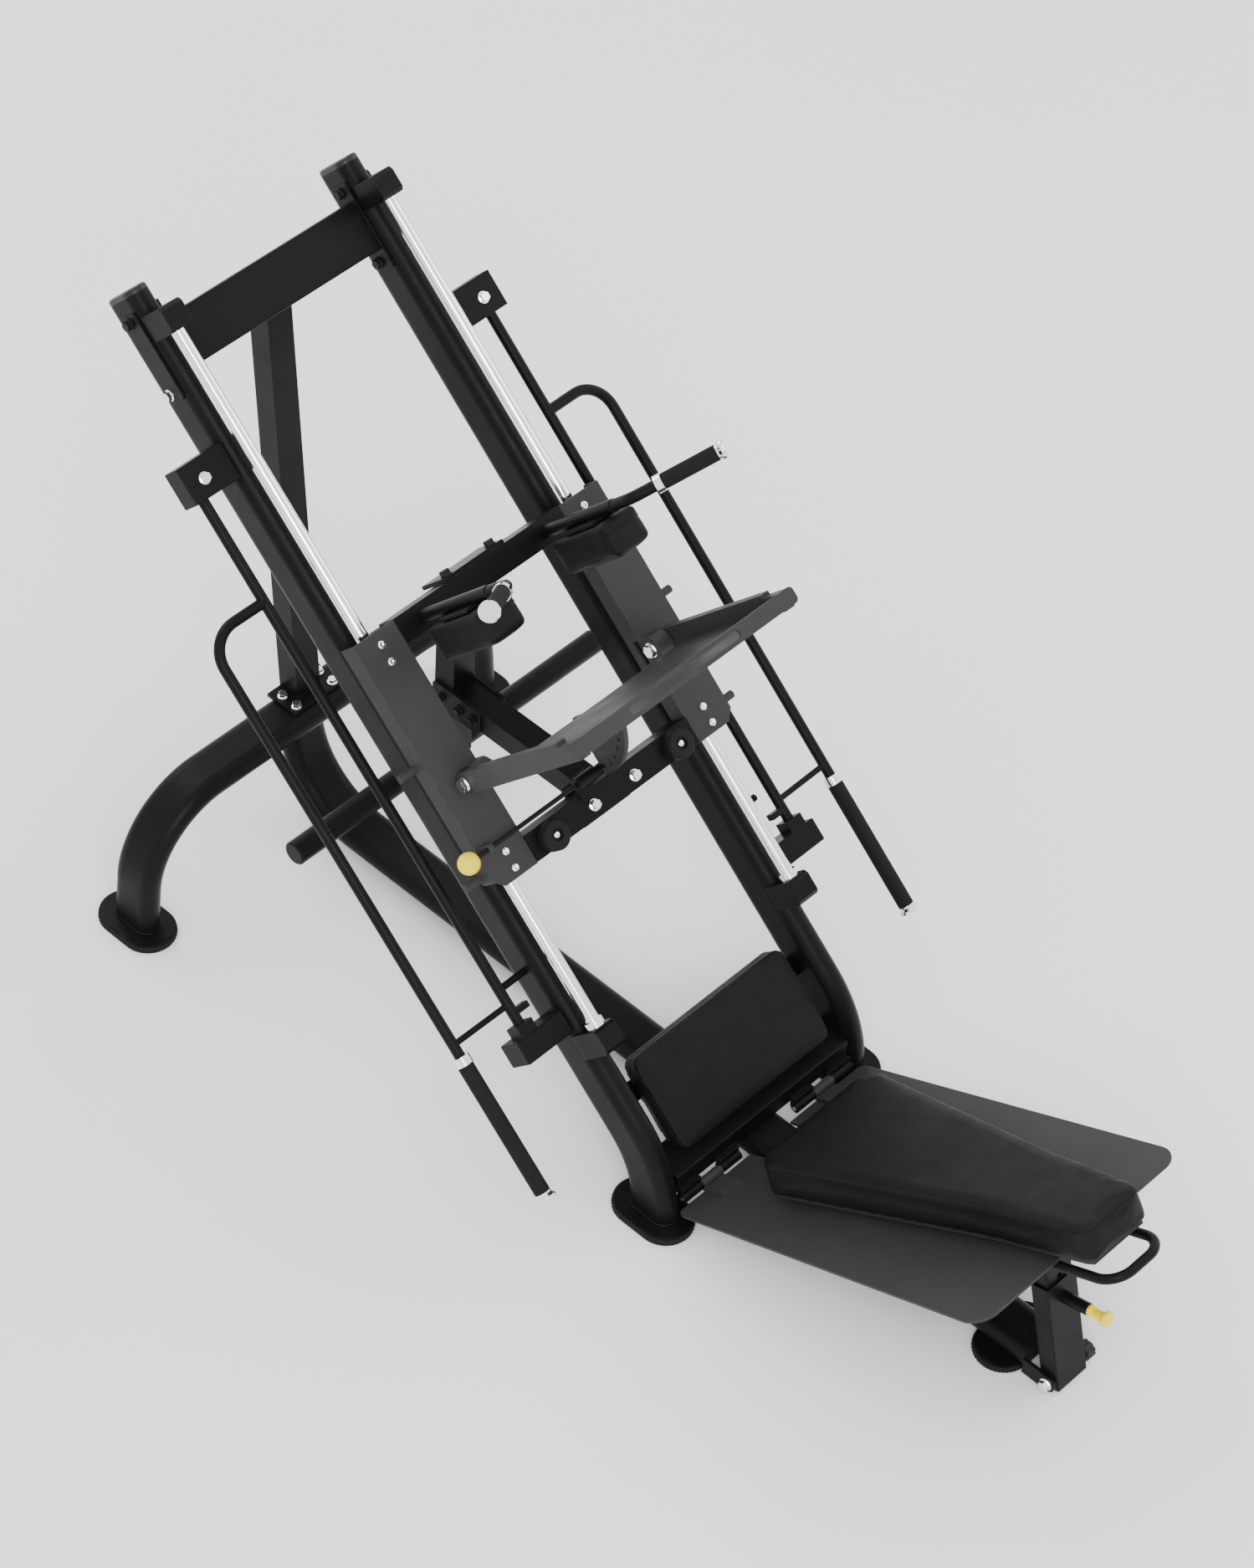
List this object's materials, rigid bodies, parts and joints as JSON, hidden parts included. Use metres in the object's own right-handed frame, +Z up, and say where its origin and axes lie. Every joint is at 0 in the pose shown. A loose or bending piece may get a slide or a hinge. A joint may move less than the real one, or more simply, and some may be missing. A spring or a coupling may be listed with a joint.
{
  "type": "hack squat machine",
  "caption": "Plate-loaded hack squat and leg press machine with a carriage on sloping guide rods, shoulder rests, foot-press yoke, safety handles and a tilting padded foot plate.",
  "frame": {"origin": "middle of the machine's footprint on the floor", "axes": "+X to the machine's right-hand side, +Y towards the tall rear end, -Y towards the padded plate, +Z up"},
  "size_m": [1.033, 2.3102, 1.4143],
  "materials": {
    "black_frame": "satin powder coat",
    "grey_frame": "matt dark grey powder coat",
    "plate_steel": "satin dark grey powder coat",
    "chrome": "polished",
    "bright_steel": "ground",
    "black_bolts": "black oxide",
    "vinyl": "fine-grain vinyl",
    "rubber": "moulded",
    "grip": "matt foam sleeve",
    "black_plastic": "moulded",
    "yellow_plastic": "glossy",
    "board": "stained black"
  },
  "bodies": {
    "frame": {"rail_left": "black_frame", "rail_right": "black_frame", "rail_end_caps": "black_plastic", "top_crossbeam": "black_frame", "top_side_plates": "black_frame", "frame_bolts": "chrome", "frame_bolts_black": "black_bolts", "rod_end_blocks": "black_frame", "guide_rods": "chrome", "rear_arch": "black_frame", "centre_post": "black_frame", "base_spine": "black_frame", "front_crossbeam": "black_frame", "hinge_pins": "bright_steel", "leg_clevis": "black_frame", "foot_base_plates": "black_frame", "rubber_feet": "rubber", "handle_bearing_blocks": "black_frame", "seat_pad": "vinyl", "seat_backing": "black_frame", "leg_pivot_bolt": "chrome", "leg_pivot_knob": "black_plastic"},
    "carriage": {"side_channel_left": "grey_frame", "side_channel_right": "grey_frame", "upper_crossbar": "black_frame", "lower_crossbar": "black_frame", "bearing_housings": "black_frame", "linear_bushings": "bright_steel", "carriage_bolts": "chrome", "carriage_bolts_black": "black_bolts", "bumpers": "rubber", "truss": "black_frame", "weight_bar": "black_frame", "yoke_pivot_bolts": "chrome", "shoulder_handles": "black_frame", "shoulder_grips": "grip", "shoulder_handle_chrome": "chrome", "lock_barrel": "black_frame"},
    "yoke": {"yoke_frame": "grey_frame", "yoke_sector": "grey_frame"},
    "shoulder_rest_left": {"shoulder_pad_left": "vinyl", "pad_bracket_left": "black_frame"},
    "shoulder_rest_right": {"shoulder_pad_right": "vinyl", "pad_bracket_right": "black_frame"},
    "safety_handle_left": {"safety_bar_left": "black_frame", "safety_grip_left": "grip", "safety_chrome_left": "chrome"},
    "safety_handle_right": {"safety_bar_right": "black_frame", "safety_grip_right": "grip", "safety_chrome_right": "chrome"},
    "tilting_plate": {"foot_plate": "plate_steel", "back_pad": "vinyl", "pad_board": "board", "u_handle": "black_frame"},
    "leg_outer": {"leg_tube": "black_frame"},
    "leg_inner": {"leg_inner_tube": "black_frame"},
    "pull_pin": {"pull_pin": "bright_steel", "pull_knob": "yellow_plastic"},
    "lock": {"lock_rod": "black_bolts", "lock_ball": "yellow_plastic"}
  },
  "joints": [
    {"name": "carriage_slide", "type": "slide", "parent": "frame", "child": "carriage", "axis": [0, -0.7431, -0.6691], "range_m": [-0.5, 0.27]},
    {"name": "yoke_hinge", "type": "hinge", "parent": "carriage", "child": "yoke", "pos_m": [0, 0.25254, 0.78218], "axis": [1, 0, 0], "range_deg": [-30, 20]},
    {"name": "shoulder_hinge_left", "type": "hinge", "parent": "carriage", "child": "shoulder_rest_left", "pos_m": [-0.157, 0.38961, 1.06035], "axis": [0, 0.6691, -0.7431], "range_deg": [0, 90]},
    {"name": "shoulder_hinge_right", "type": "hinge", "parent": "carriage", "child": "shoulder_rest_right", "pos_m": [0.157, 0.38961, 1.06035], "axis": [0, -0.6691, 0.7431], "range_deg": [0, 90]},
    {"name": "safety_turn_left", "type": "hinge", "parent": "frame", "child": "safety_handle_left", "pos_m": [-0.361, 0.44259, 0.78779], "axis": [0, 0.7431, 0.6691], "range_deg": [0, 60]},
    {"name": "safety_turn_right", "type": "hinge", "parent": "frame", "child": "safety_handle_right", "pos_m": [0.361, 0.44259, 0.78779], "axis": [0, -0.7431, -0.6691], "range_deg": [0, 60]},
    {"name": "plate_hinge", "type": "hinge", "parent": "frame", "child": "tilting_plate", "pos_m": [0, -0.295, 0.055], "axis": [-1, 0, 0], "range_deg": [-5, 5]},
    {"name": "leg_hinge", "type": "hinge", "parent": "frame", "child": "leg_outer", "pos_m": [0, -1.0245, 0.025], "axis": [1, 0, 0], "range_deg": [-1.72, 1.72]},
    {"name": "leg_slide", "type": "slide", "parent": "leg_outer", "child": "leg_inner", "axis": [0, 0.2475, 0.9689], "range_m": [-0.0612, 0.0612]},
    {"name": "pull_pin_slide", "type": "slide", "parent": "leg_outer", "child": "pull_pin", "axis": [0, -0.9689, 0.2475], "range_m": [0, 0.012], "stiffness_N_per_m": 900, "springref_m": -0.006},
    {"name": "lock_slide", "type": "slide", "parent": "carriage", "child": "lock", "axis": [-1, 0, 0], "range_m": [0, 0.018], "stiffness_N_per_m": 700, "springref_m": -0.008}
  ],
  "couplings": [
    {"joint": "leg_hinge", "follows": "plate_hinge", "ratio": -0.34281},
    {"joint": "leg_slide", "follows": "plate_hinge", "m_per_rad": 0.69921}
  ]
}
